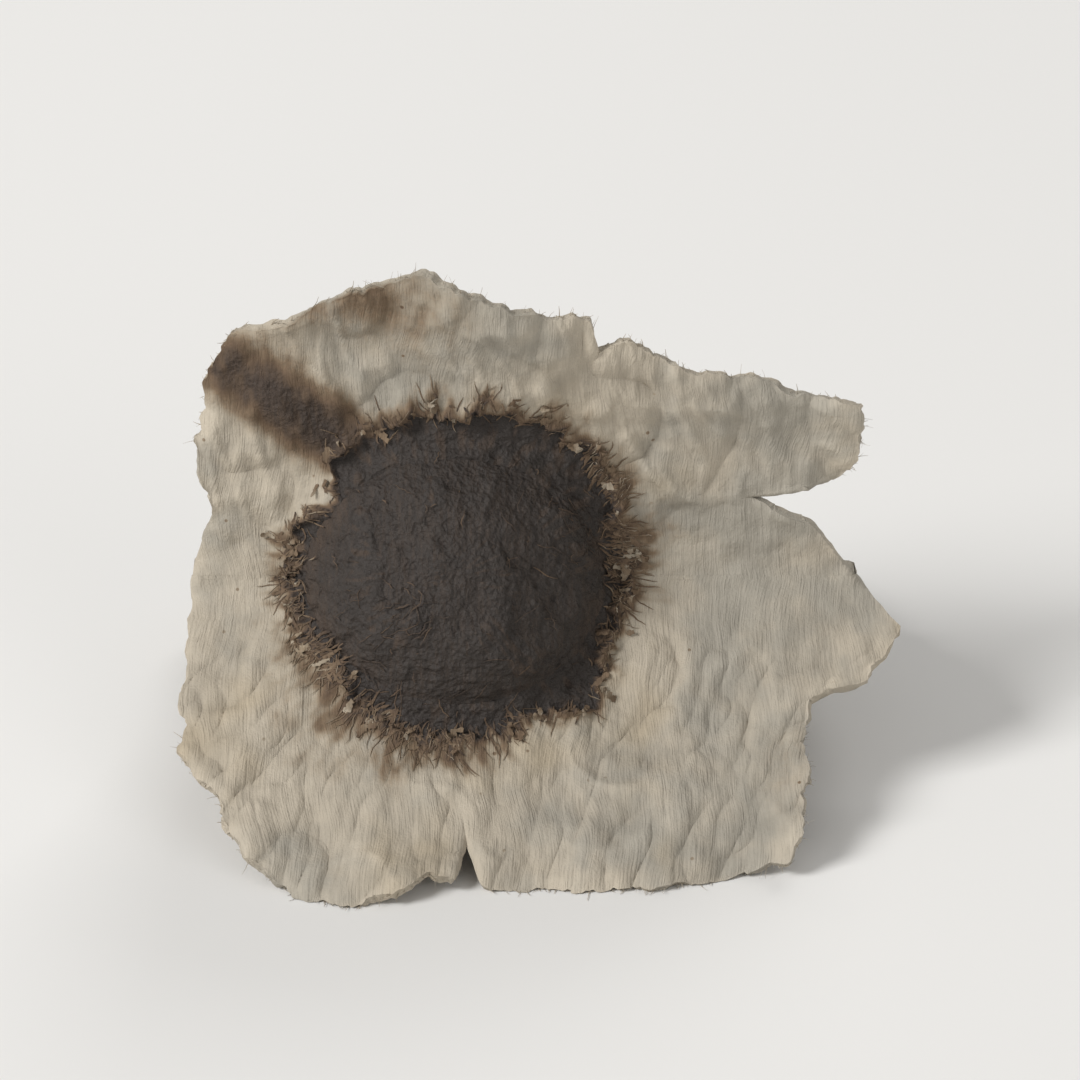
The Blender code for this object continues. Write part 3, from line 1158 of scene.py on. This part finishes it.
class Recipe:
    """A material's nodes, written as expressions."""

    def __init__(self, name: str) -> None:
        """Starts a material.

        Args:
            name: The material's name.
        """
        self.material = bpy.data.materials.new(name)
        self.material.use_nodes = True
        self.tree = self.material.node_tree
        self.shader = self.tree.nodes["Principled BSDF"]

    def node(self, kind: str, settings: dict, values: dict, output: int = 0) -> "Value":
        """Adds a node.

        Args:
            kind: The node's type.
            settings: Its own settings, or the stops of its colour ramp, which are set first.
            values: What its sockets hold or are linked to, by name or number.
            output: The number of the output that is wanted.

        Returns:
            That output.
        """
        node = self.tree.nodes.new(kind)
        for name, setting in settings.items():
            if name == "stops":
                self.set_stops(node.color_ramp, setting)
            else:
                setattr(node, name, setting)
        for key, value in values.items():
            self.feed(node.inputs[key], value)
        return Value(self, node.outputs[output])

    @staticmethod
    def set_stops(ramp: bpy.types.ColorRamp, stops: Iterable[tuple[float, Colour]]) -> None:
        """Gives a colour ramp its stops.

        Args:
            ramp: The ramp.
            stops: Places on it, in order, with their colours.
        """
        while len(ramp.elements) > 1:
            ramp.elements.remove(ramp.elements[-1])
        for number, (place, colour) in enumerate(stops):
            stop = ramp.elements[0] if number == 0 else ramp.elements.new(place)
            stop.position = place
            stop.color = (*colour, 1.0)

    def feed(self, socket: bpy.types.NodeSocket, value: object) -> None:
        """Links a value to a socket, or sets the socket to it.

        Args:
            socket: The socket.
            value: A node's output, a colour, a vector or a number.
        """
        if isinstance(value, Value):
            self.tree.links.new(value.socket, socket)
        elif isinstance(value, tuple) and socket.type == "RGBA":
            socket.default_value = (*value, 1.0)
        else:
            socket.default_value = value

    def attribute(self, name: str, output: int) -> "Value":
        """Reads one of the mesh's own attributes."""
        return self.node("ShaderNodeAttribute", {"attribute_name": name}, {}, output)

    def object_mm(self) -> "Value":
        """Gives the place on the object in millimetres."""
        place = self.node("ShaderNodeTexCoord", {}, {}, ON_OBJECT)
        return self.stretch(place, (1 / MM, 1 / MM, 1 / MM))

    def stretch(self, vector: "Value", scale: tuple[float, float, float]) -> "Value":
        """Scales a place along each axis."""
        return self.node("ShaderNodeVectorMath", {"operation": "MULTIPLY"}, {0: vector, 1: scale})

    def noise(self, place: "Value", scale: float, detail: float) -> "Value":
        """Adds a noise of this many lumps a millimetre, centred on 0."""
        values = {"Vector": place, "Scale": scale, "Detail": detail, "Roughness": 0.6}
        return self.node("ShaderNodeTexNoise", {}, values) - 0.5

    def pores(self, place: "Value", scale: float) -> "Value":
        """Adds the distance to the nearest of many scattered points."""
        return self.node("ShaderNodeTexVoronoi", {}, {"Vector": place, "Scale": scale})

    def ease(self, value: "Value", low: float, high: float) -> "Value":
        """Turns a value into a share that eases from 0 at low to 1 at high."""
        settings = {"interpolation_type": "SMOOTHSTEP"}
        return self.node("ShaderNodeMapRange", settings, {"Value": value, "From Min": low, "From Max": high})

    def mix(self, share: "Value", first: object, second: object) -> "Value":
        """Mixes two colours."""
        values = {0: share, FIRST_COLOUR: first, SECOND_COLOUR: second}
        return self.node("ShaderNodeMix", {"data_type": "RGBA"}, values, MIXED)

    def tint(self, colour: "Value", amount: "Value") -> "Value":
        """Lightens or darkens a colour.

        Args:
            colour: The colour.
            amount: What it is multiplied by.

        Returns:
            The changed colour.
        """
        grey = self.node("ShaderNodeCombineColor", {}, {0: amount, 1: amount, 2: amount})
        settings = {"data_type": "RGBA", "blend_type": "MULTIPLY"}
        values = {0: 1.0, FIRST_COLOUR: colour, SECOND_COLOUR: grey}
        return self.node("ShaderNodeMix", settings, values, MIXED)

    def ramp(self, value: "Value", stops: Iterable[tuple[float, Colour]]) -> "Value":
        """Turns a value into a colour."""
        return self.node("ShaderNodeValToRGB", {"stops": stops}, {0: value})

    def relief(self, height: "Value", depth: float) -> "Value":
        """Turns a height into a bumped normal."""
        return self.node("ShaderNodeBump", {}, {"Strength": 1.0, "Distance": depth, "Height": height})


class Value:
    """A node's output, with Python's arithmetic for numbers."""

    def __init__(self, recipe: Recipe, socket: bpy.types.NodeSocket) -> None:
        """Wraps an output.

        Args:
            recipe: The material that it belongs to.
            socket: The output.
        """
        self.recipe = recipe
        self.socket = socket

    def math(self, operation: str, first: object, second: object) -> "Value":
        """Adds a Math node."""
        return self.recipe.node("ShaderNodeMath", {"operation": operation}, {0: first, 1: second})

    def __add__(self, other: "Value | float") -> "Value":
        """Adds."""
        return self.math("ADD", self, other)

    def __radd__(self, other: float) -> "Value":
        """Adds to a plain number."""
        return self.math("ADD", other, self)

    def __sub__(self, other: "Value | float") -> "Value":
        """Subtracts."""
        return self.math("SUBTRACT", self, other)

    def __rsub__(self, other: float) -> "Value":
        """Subtracts from a plain number."""
        return self.math("SUBTRACT", other, self)

    def __mul__(self, other: "Value | float") -> "Value":
        """Multiplies."""
        return self.math("MULTIPLY", self, other)

    def __rmul__(self, other: float) -> "Value":
        """Multiplies a plain number."""
        return self.math("MULTIPLY", other, self)


@dataclass(frozen=True)
class Finish:
    """The seed's tissue, from clean paper through brown to the hull's dark cork, by its stain."""

    name: str
    cream: Colour = (0.435, 0.382, 0.303)
    grey: Colour = (0.335, 0.307, 0.256)
    straw: Colour = (0.410, 0.336, 0.232)
    tan: Colour = (0.295, 0.228, 0.150)
    fawn: Colour = (0.205, 0.148, 0.094)
    brown: Colour = (0.130, 0.086, 0.054)
    umber: Colour = (0.062, 0.044, 0.033)
    dark: Colour = (0.037, 0.030, 0.026)
    specular: float = 0.35
    relief: float = 0.08 * MM

    def material(self) -> bpy.types.Material:
        """Makes the material.

        Returns:
            The material, which is the same one if it was made before.
        """
        made = bpy.data.materials.get(self.name)
        if made is not None:
            return made
        recipe = Recipe(self.name)
        place = recipe.object_mm()
        fibre_map = recipe.attribute("fibre_map", AS_VECTOR)
        streaks = recipe.noise(recipe.stretch(fibre_map, (6.0, 0.45, 1.0)), 1.0, 2.5)
        hairs = recipe.noise(recipe.stretch(fibre_map, (19.0, 1.2, 1.0)), 1.0, 1.0)
        speckle = recipe.noise(place, 9.0, 2.0)
        soaked = recipe.attribute("stain", AS_NUMBER)
        broken = soaked + (streaks * 0.8 + hairs * 0.4 + speckle * 0.7) * (soaked * 0.35 + 0.05)
        flecks = 1.0 - recipe.ease(recipe.pores(place, 1.1), 0.05, 0.10)
        broken = broken + flecks * recipe.ease(recipe.noise(place, 0.7, 2.0), -0.02, 0.12) * 0.30
        stain = recipe.node("ShaderNodeClamp", {}, {"Value": broken})

        paper = self.paper(recipe, place, streaks, hairs)
        browns = (self.tan, self.fawn, self.brown, self.umber, self.dark)
        stops = tuple(zip((0.0, 0.28, 0.52, 0.76, 0.95), browns))
        cork = 1.0 + recipe.noise(place, 2.6, 4.0) * 0.9 + speckle * 0.6
        bark = recipe.tint(recipe.ramp(stain, stops), cork)
        shader = recipe.shader
        recipe.feed(shader.inputs["Base Color"], recipe.mix(recipe.ease(stain, 0.03, 0.40), paper, bark))
        recipe.feed(shader.inputs["Roughness"], 0.82 + speckle * 0.25 - recipe.ease(stain, 0.6, 1.0) * 0.14)
        shader.inputs["Specular IOR Level"].default_value = self.specular

        corky = recipe.noise(place, 5.0, 3.0) * 1.6 + recipe.pores(place, 6.0) * 0.7
        woven = streaks * 0.5 + hairs * 0.42 + speckle * 0.35
        dark_share = recipe.ease(soaked, 0.50, 0.80)
        height = corky * dark_share + woven * (1.0 - dark_share)
        recipe.feed(shader.inputs["Normal"], recipe.relief(height, self.relief))
        return recipe.material

    def paper(self, recipe: Recipe, place: Value, streaks: Value, hairs: Value) -> Value:
        """Colours the clean wing tissue: cream with grey and straw clouds, the grey partly painted shade,
        fine fibres, painted highlight on raised creases and painted shade in sunk ones, and a pale rim.

        Args:
            recipe: The material.
            place: The place on the object in millimetres.
            streaks: The wide fibres.
            hairs: The fine fibres.

        Returns:
            The colour.
        """
        # The tone turns the cream towards grey, partly as painted shade, and away from the straw.
        tone = recipe.attribute("tone", AS_NUMBER) * 0.20
        clouds = recipe.ease(recipe.noise(place, 0.30, 3.0) + tone, -0.08, 0.20)
        mirrored = recipe.stretch(place, (1.0, -1.0, 1.0))
        warm = recipe.ease(recipe.noise(mirrored, 0.26, 2.0) - tone, 0.02, 0.28)
        colour = recipe.mix(clouds, self.cream, self.grey)
        colour = recipe.mix(warm * 0.7, colour, self.straw)
        # Painted highlight on raised creases and painted shade in sunk ones, plus a paler rim at the torn
        # edges.
        crease_shade_and_pale_rim = recipe.attribute("crease", AS_NUMBER) * 0.10 + recipe.attribute("rim", AS_NUMBER) * 0.14
        patchy = recipe.noise(place, 1.1, 3.0) * 0.26
        return recipe.tint(colour, 1.0 + streaks * 0.24 + hairs * 0.22 + crease_shade_and_pale_rim + patchy)


class Thread:
    """A slim strip that is modelled once and then copied along many paths."""

    def __init__(self, sides: int, rings: int) -> None:
        """Models the strip.

        Args:
            sides: How many sides it has round its length.
            rings: How many rings of points run along it.
        """
        self.rings = rings
        Piece.deselect()
        bpy.ops.mesh.primitive_cylinder_add(vertices=sides, radius=1, depth=2)
        obj = Piece.added("thread")
        rails = [abs(a.z - b.z) > 1 for a, b in self.edge_ends(obj)]
        for mesh_part in (obj.data.vertices, obj.data.polygons):
            mesh_part.foreach_set("select", np.zeros(len(mesh_part), bool))
        bpy.context.tool_settings.mesh_select_mode = (False, True, False)
        obj.data.edges.foreach_set("select", np.array(rails))
        bpy.ops.object.mode_set(mode="EDIT")
        bpy.ops.mesh.subdivide(number_cuts=rings - 2)
        bpy.ops.mesh.select_all(action="SELECT")
        bpy.ops.mesh.quads_convert_to_tris(quad_method="BEAUTY", ngon_method="BEAUTY")
        bpy.ops.object.mode_set(mode="OBJECT")
        places = Piece.places(obj)
        self.ring = np.rint((places[:, 2] + 1) / 2 * (rings - 1)).astype(int)
        self.side = places[:, :2]
        corners = np.empty(len(obj.data.polygons) * 3, int)
        obj.data.polygons.foreach_get("vertices", corners)
        self.triangles = corners.reshape(-1, 3)
        bpy.data.objects.remove(obj, do_unlink=True)

    @staticmethod
    def edge_ends(obj: bpy.types.Object) -> list[tuple[Vector, Vector]]:
        """Lists the two ends of each edge."""
        verts = obj.data.vertices
        return [(verts[edge.vertices[0]].co, verts[edge.vertices[1]].co) for edge in obj.data.edges]

    def copy_along(self, name: str, runs: "Runs") -> bpy.types.Object:
        """Copies the strip along every path and joins the copies in one piece.

        Args:
            name: The piece's name.
            runs: The paths, with the strip's widths and stain along them.

        Returns:
            The piece.
        """
        tangent = unit(np.gradient(runs.path, axis=1))
        across = unit(np.cross(tangent, runs.normal))
        upward = unit(np.cross(across, tangent))
        ring = self.ring
        wide = across[:, ring] * (self.side[:, 0] * runs.width[:, ring])[..., None]
        thick = upward[:, ring] * (self.side[:, 1] * runs.depth[:, ring])[..., None]
        points = (runs.path[:, ring] + wide + thick).reshape(-1, 3)
        count = len(runs.path)
        steps = np.arange(count)[:, None, None] * len(ring)
        mesh = bpy.data.meshes.new(name)
        mesh.from_pydata(points.tolist(), [], (self.triangles + steps).reshape(-1, 3).tolist())
        obj = bpy.data.objects.new(name, mesh)
        bpy.context.scene.collection.objects.link(obj)
        Piece.activate(obj)
        bpy.ops.object.mode_set(mode="EDIT")
        bpy.ops.mesh.select_all(action="SELECT")
        bpy.ops.mesh.normals_make_consistent(inside=False)
        bpy.ops.object.mode_set(mode="OBJECT")
        Piece.write_values(obj, "stain", runs.stain[:, ring].ravel())
        Piece.write_values(obj, "fibre_map", points / MM)
        return obj


@dataclass
class Runs:
    """Many short paths, each with as many rings: their places, upward directions, half widths, half
    depths and stain."""

    path: np.ndarray
    normal: np.ndarray
    width: np.ndarray
    depth: np.ndarray
    stain: np.ndarray

    @staticmethod
    def joined(several: list["Runs"]) -> "Runs":
        """Joins lists of paths."""
        names = ("path", "normal", "width", "depth", "stain")
        return Runs(*(np.concatenate([getattr(runs, name) for runs in several]) for name in names))


@dataclass(frozen=True)
class Shreds:
    """Torn strips that lie over the border of the bare faces.

    start and run are the range of distances outside the border where a strip begins and how
    far it goes, inwards if it is negative. The other pairs are ranges too. A strip begins at a
    grid point of a sheet, at least margin points from the grid's own edge.
    """

    name: str
    count: int
    start: Pair
    run: Pair
    width: Pair
    depth: float
    rise: Pair
    stain_start: Pair
    stain_end: Pair
    spread: float
    seed: int
    blunt: float = 0.15
    ragged: float = 0.25
    wobble: float = 0.30
    lift: float = 0.008 * MM
    sides: int = 5
    rings: int = 7
    margin: int = 3
    grid_step: float = 0.08 * MM
    usual_fringe: float = 1.1 * MM
    lush_range: Pair = (0.45, 1.7)
    lush_count: float = 1.5
    lush_length: float = 0.35
    late_rise: float = 2.2

    def lay(self, sheets: list[Sheet]) -> Runs:
        """Lays the strips over the sheets."""
        draw = np.random.default_rng(self.seed)
        return Runs.joined([self.lay_on(sheet, draw) for sheet in sheets])

    def lay_on(self, sheet: Sheet, draw: np.random.Generator) -> Runs:
        """Lays the strips over one sheet, more and longer ones where its fringe is wide.

        Args:
            sheet: One side of a wing.
            draw: Where the random numbers come from.

        Returns:
            The strips' paths.
        """
        outside, margin = sheet.border.outside, self.margin
        columns, rows = outside.shape
        near = (outside > self.start[0]) & (outside < self.start[1])
        near[:margin] = near[-margin:] = False
        near[:, :margin] = near[:, -margin:] = False
        column, row = np.nonzero(near)
        lush = np.clip(sheet.border.fringe[column, row] / self.usual_fringe, *self.lush_range)
        odds = lush**self.lush_count
        picked = draw.choice(len(column), size=self.count, replace=False, p=odds / odds.sum())
        column, row, lush = column[picked].astype(float), row[picked].astype(float), lush[picked]
        slope_column, slope_row = np.gradient(np.hypot(*sheet.face.in_view(sheet.cover)))
        pull = np.hypot(slope_column, slope_row)
        aim_column = read_grid(slope_column / pull, column, row)[:, None]
        aim_row = read_grid(slope_row / pull, column, row)[:, None]
        turn = draw.normal(0, self.spread, self.count)
        bend = draw.normal(0, 0.5 * self.spread, self.count)
        run = draw.uniform(*self.run, self.count) * lush**self.lush_length
        share = np.linspace(0, 1, self.rings)[None, :]
        swing = turn[:, None] + bend[:, None] * share + draw.normal(0, self.wobble, (self.count, self.rings))
        travel = run[:, None] / self.grid_step / (self.rings - 1)
        move_column = (aim_column * np.cos(swing) - aim_row * np.sin(swing)) * travel
        move_row = (aim_column * np.sin(swing) + aim_row * np.cos(swing)) * travel
        path_column = column[:, None] + np.cumsum(move_column, axis=1) - move_column
        path_row = row[:, None] + np.cumsum(move_row, axis=1) - move_row
        inside = (path_column > 0).all(1) & (path_column < columns - 1).all(1)
        inside &= (path_row > 0).all(1) & (path_row < rows - 1).all(1)
        path_column, path_row, kept = path_column[inside], path_row[inside], int(inside.sum())

        path = read_grid(sheet.cover, path_column, path_row)
        normal = unit(read_grid(sheet.normals, path_column, path_row))
        rise = draw.uniform(*self.rise, kept)[:, None] * share**self.late_rise
        taper = self.blunt + (1 - self.blunt) * np.sin(math.pi * np.clip(share * 0.9 + 0.12, 0, 1)) ** 0.6
        torn = 1 + self.ragged * draw.uniform(-1, 1, (kept, self.rings))
        width = draw.uniform(*self.width, kept)[:, None] * taper * torn
        depth = np.full_like(width, self.depth) * (0.5 + 0.5 * taper)
        path = path + normal * (rise + 0.5 * self.depth + self.lift)[..., None]
        first = draw.uniform(*self.stain_start, kept)[:, None]
        last = draw.uniform(*self.stain_end, kept)[:, None]
        return Runs(path, normal, width, depth, first + (last - first) * share)

    def build(self, sheets: list[Sheet], finish: Finish) -> None:
        """Makes the piece."""
        obj = Thread(self.sides, self.rings).copy_along(self.name, self.lay(sheets))
        Piece.finish(obj, finish, Slot.WING, sharp=70)


SHREDS = (
    Shreds(
        name="pale_shreds", count=270, seed=71,
        start=in_mm(0.0, 0.55), run=in_mm(-0.75, -0.15), spread=0.75, wobble=0.22,
        width=in_mm(0.014, 0.060), depth=0.012 * MM, rise=in_mm(0.0, 0.06), blunt=0.4, ragged=0.4,
        stain_start=(0.28, 0.68), stain_end=(0.45, 0.85),
    ),
    Shreds(
        name="brown_fibres", count=300, seed=72,
        start=in_mm(-0.35, 0.6), run=in_mm(0.3, 1.1), spread=0.50, wobble=0.14,
        width=in_mm(0.010, 0.032), depth=0.012 * MM, rise=in_mm(0.0, 0.04), blunt=0.2,
        stain_start=(0.45, 0.80), stain_end=(0.15, 0.40),
    ),
    Shreds(
        name="hull_fibres", count=70, seed=73,
        start=in_mm(-4.0, -0.4), run=in_mm(-1.2, 1.2), spread=1.4,
        width=in_mm(0.010, 0.026), depth=0.012 * MM, rise=in_mm(0.0, 0.05), blunt=0.2,
        stain_start=(0.60, 0.9), stain_end=(0.50, 0.9),
    ),
    Shreds(
        name="paper_scraps", count=42, seed=74,
        start=in_mm(-0.05, 0.8), run=in_mm(-0.9, 0.8), spread=0.9, wobble=0.5,
        width=in_mm(0.05, 0.17), depth=0.016 * MM, rise=in_mm(0.02, 0.22), blunt=0.65, ragged=0.5,
        stain_start=(0.12, 0.50), stain_end=(0.15, 0.60), sides=6, rings=9,
    ),
)


@dataclass(frozen=True)
class EdgeFibres:
    """Hair-fine fibres that stand out of the wings' torn edges.

    side_rows are the rows of a wing's two ends that bear fibres, from the outer edge, and inner
    is how many grid points in from the edge a fibre's direction is taken.
    """

    name: str = "edge_fibres"
    count: int = 260
    length: Pair = in_mm(0.10, 0.42)
    width: Pair = in_mm(0.010, 0.028)
    root: float = 0.12 * MM
    lowest: float = 0.03 * MM
    stray: float = 0.38
    droop: float = 0.3
    thinning: float = 0.75
    most_stain: float = 0.25
    side_rows: int = 70
    inner: int = 3
    seed: int = 81
    sides: int = 4
    rings: int = 5

    def lay_on(self, pair: tuple[Sheet, Sheet], draw: np.random.Generator) -> Runs:
        """Lays fibres round the edge of one wing.

        Args:
            pair: The wing's two sides.
            draw: Where the random numbers come from.

        Returns:
            The fibres' paths.
        """
        middle, normals = (pair[0].cover + pair[1].cover) / 2, pair[0].normals
        rows, inner = slice(0, self.side_rows), self.inner
        outer = middle[:, 0], middle[:, inner], normals[:, 0]
        left = middle[0, rows], middle[inner, rows], normals[0, rows]
        right = middle[-1, rows], middle[-1 - inner, rows], normals[-1, rows]
        tip, back, normal = (np.concatenate(parts) for parts in zip(outer, left, right))
        picked = draw.choice(len(tip), size=self.count, replace=False)
        tip, back, normal = tip[picked], back[picked], normal[picked]
        aim = unit(unit(tip - back) + draw.normal(0, self.stray, tip.shape))
        length = draw.uniform(*self.length, self.count)[:, None, None]
        share = np.linspace(0, 1, self.rings)[None, :, None]
        droop = draw.normal(0, self.droop, tip.shape)[:, None, :] * share**2
        path = tip[:, None] + (aim[:, None] + droop) * length * share - aim[:, None] * self.root
        path[..., 2] = np.maximum(path[..., 2], self.lowest)
        taper = 1 - self.thinning * share[..., 0]
        width = draw.uniform(*self.width, self.count)[:, None] * taper
        stain = np.repeat(draw.uniform(0, self.most_stain, self.count)[:, None], self.rings, axis=1)
        return Runs(path, np.repeat(normal[:, None], self.rings, axis=1), width, width, stain)

    def build(self, pairs: list[tuple[Sheet, Sheet]], finish: Finish) -> None:
        """Makes the piece.

        Args:
            pairs: The two sides of each wing.
            finish: Its material.
        """
        draw = np.random.default_rng(self.seed)
        runs = Runs.joined([self.lay_on(pair, draw) for pair in pairs])
        obj = Thread(self.sides, self.rings).copy_along(self.name, runs)
        Piece.finish(obj, finish, Slot.WING, sharp=70)


@dataclass(frozen=True)
class Light:
    """A soft square light: where it stands, the side of its square and its power in watts."""

    name: str
    place: Triple
    size: float
    power: float


@dataclass(frozen=True)
class Studio:
    """A plain pale floor, soft lights and a camera that looks at the seed as the photograph does."""

    floor_side: float = 3.0
    floor_colour: Colour = (0.80, 0.79, 0.77)
    floor_roughness: float = 0.8
    world_colour: Colour = (1.0, 0.985, 0.96)
    world_strength: float = 0.28
    lights: tuple[Light, ...] = (
        Light("key", (-0.42, -0.20, 0.36), 0.20, 3.0),
        Light("fill", (0.40, -0.42, 0.24), 0.40, 0.7),
        Light("back", (0.16, 0.46, 0.40), 0.30, 1.2),
    )
    lens: float = 200.0
    clip: Pair = (0.01, 20.0)
    distance: float = 0.205
    elevation: float = math.radians(30)
    aim: Triple = (0.0, 0.0, 0.0077)

    def build(self) -> None:
        """Sets the stage."""
        self.make_floor()
        for light in self.lights:
            self.add_light(light)
        self.make_world()
        self.make_camera()
        bpy.context.scene.view_settings.view_transform = "Standard"

    def make_floor(self) -> None:
        """Lays the floor."""
        Piece.deselect()
        bpy.ops.mesh.primitive_plane_add(size=self.floor_side)
        floor = Piece.added("floor")
        recipe = Recipe("pale_floor")
        recipe.feed(recipe.shader.inputs["Base Color"], self.floor_colour)
        recipe.feed(recipe.shader.inputs["Roughness"], self.floor_roughness)
        floor.data.materials.append(recipe.material)

    def add_light(self, light: Light) -> None:
        """Adds a light that points at the seed.

        Args:
            light: What it is like.
        """
        data = bpy.data.lights.new(light.name, "AREA")
        data.shape = "SQUARE"
        data.size = light.size
        data.energy = light.power
        lamp = bpy.data.objects.new(light.name, data)
        lamp.location = light.place
        towards = Vector(self.aim) - Vector(light.place)
        lamp.rotation_euler = towards.to_track_quat("-Z", "Y").to_euler()
        bpy.context.scene.collection.objects.link(lamp)

    def make_world(self) -> None:
        """Surrounds the seed with soft white light."""
        world = bpy.data.worlds.new("soft_white")
        world.use_nodes = True
        background = world.node_tree.nodes["Background"]
        background.inputs["Color"].default_value = (*self.world_colour, 1.0)
        background.inputs["Strength"].default_value = self.world_strength
        bpy.context.scene.world = world

    def make_camera(self) -> None:
        """Adds the camera."""
        camera = bpy.data.cameras.new("camera")
        camera.lens = self.lens
        camera.clip_start, camera.clip_end = self.clip
        eye = bpy.data.objects.new("camera", camera)
        back = Vector((0.0, -math.cos(self.elevation), math.sin(self.elevation)))
        eye.location = Vector(self.aim) + back * self.distance
        eye.rotation_euler = (-back).to_track_quat("-Z", "Y").to_euler()
        bpy.context.scene.collection.objects.link(eye)
        bpy.context.scene.camera = eye


def main() -> None:
    """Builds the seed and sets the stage."""
    logging.basicConfig(level=logging.INFO, format="%(name)s %(message)s")
    wing_finish = Finish("wing_tissue")
    hull_finish = Finish("hull_cork")
    Hull().build(hull_finish)
    pairs = [wing.build(wing_finish) for wing in WINGS]
    sheets = [sheet for pair in pairs for sheet in pair]
    for shreds in SHREDS:
        shreds.build(sheets, wing_finish)
    EdgeFibres().build(pairs, wing_finish)
    Studio().build()


if __name__ == "__main__":
    main()
